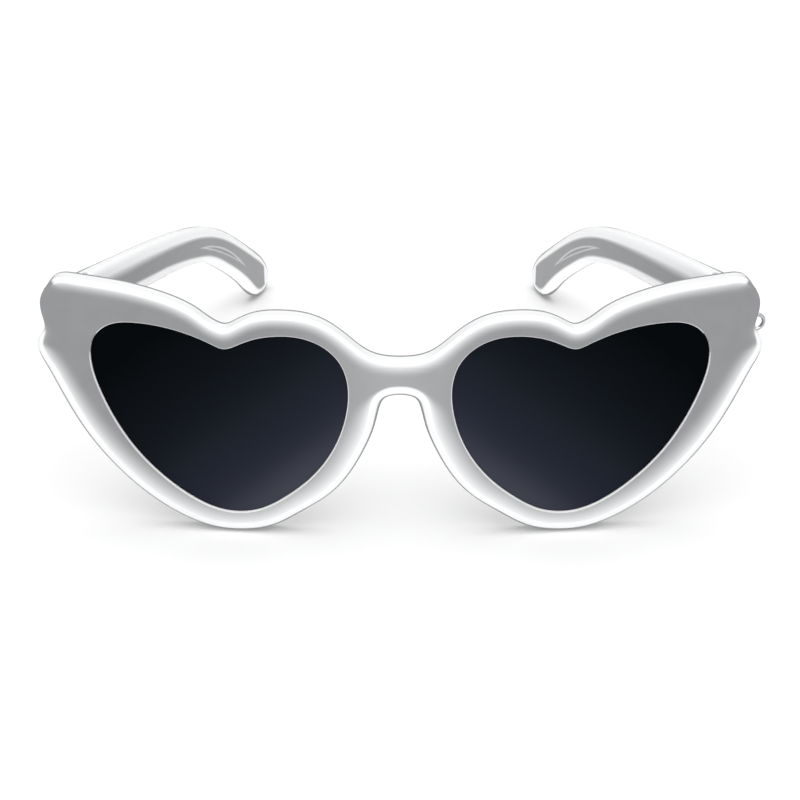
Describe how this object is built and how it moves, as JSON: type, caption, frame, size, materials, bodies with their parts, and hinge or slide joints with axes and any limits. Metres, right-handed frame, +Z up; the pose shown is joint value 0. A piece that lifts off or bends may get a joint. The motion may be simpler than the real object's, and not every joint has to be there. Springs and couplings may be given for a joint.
{
  "type": "sunglasses",
  "caption": "Heart-rimmed sunglasses with a bevelled one-piece front, dark lenses in grooves and temples that fold inward on five-knuckle screw hinges.",
  "frame": {"origin": "on the surface the sunglasses stand on, on the mirror plane of the front, midway along the whole depth", "axes": "+X to the wearer's left along the front, +Y back towards the temple tips, +Z up"},
  "size_m": [0.1492, 0.152, 0.0554],
  "materials": {
    "pearl_acetate": "polished pearl silver acetate",
    "tinted_lens": "near-black polished sun lens, a little lighter towards the bottom",
    "hinge_metal": "nickel silver, satin",
    "rivet_metal": "plain steel",
    "screw_steel": "bright steel",
    "core_wire": "drawn steel wire",
    "ring_metal": "bright plated"
  },
  "bodies": {
    "front_assembly": {"front_frame": "pearl_acetate", "lens_left": "tinted_lens", "lens_right": "tinted_lens", "nose_pad_left": "pearl_acetate", "nose_pad_right": "pearl_acetate", "front_hinge_leaf_left": "hinge_metal", "front_hinge_leaf_right": "hinge_metal", "front_hinge_rivets_left": "rivet_metal", "front_hinge_rivets_right": "rivet_metal", "hinge_screw_left": "screw_steel", "hinge_screw_right": "screw_steel"},
    "left_arm": {"temple_left": "pearl_acetate", "temple_core_wire_left": "core_wire", "temple_hinge_leaf_left": "hinge_metal", "temple_hinge_rivets_left": "rivet_metal", "cord_ring": "ring_metal"},
    "right_arm": {"temple_right": "pearl_acetate", "temple_core_wire_right": "core_wire", "temple_hinge_leaf_right": "hinge_metal", "temple_hinge_rivets_right": "rivet_metal"}
  },
  "joints": [
    {"name": "left_temple_fold", "type": "hinge", "parent": "front_assembly", "child": "left_arm", "pos_m": [0.06581, -0.06349, 0.04685], "axis": [0, 0, 1], "range_deg": [0, 78]},
    {"name": "right_temple_fold", "type": "hinge", "parent": "front_assembly", "child": "right_arm", "pos_m": [-0.06581, -0.06349, 0.04685], "axis": [0, 0, -1], "range_deg": [0, 70]}
  ]
}
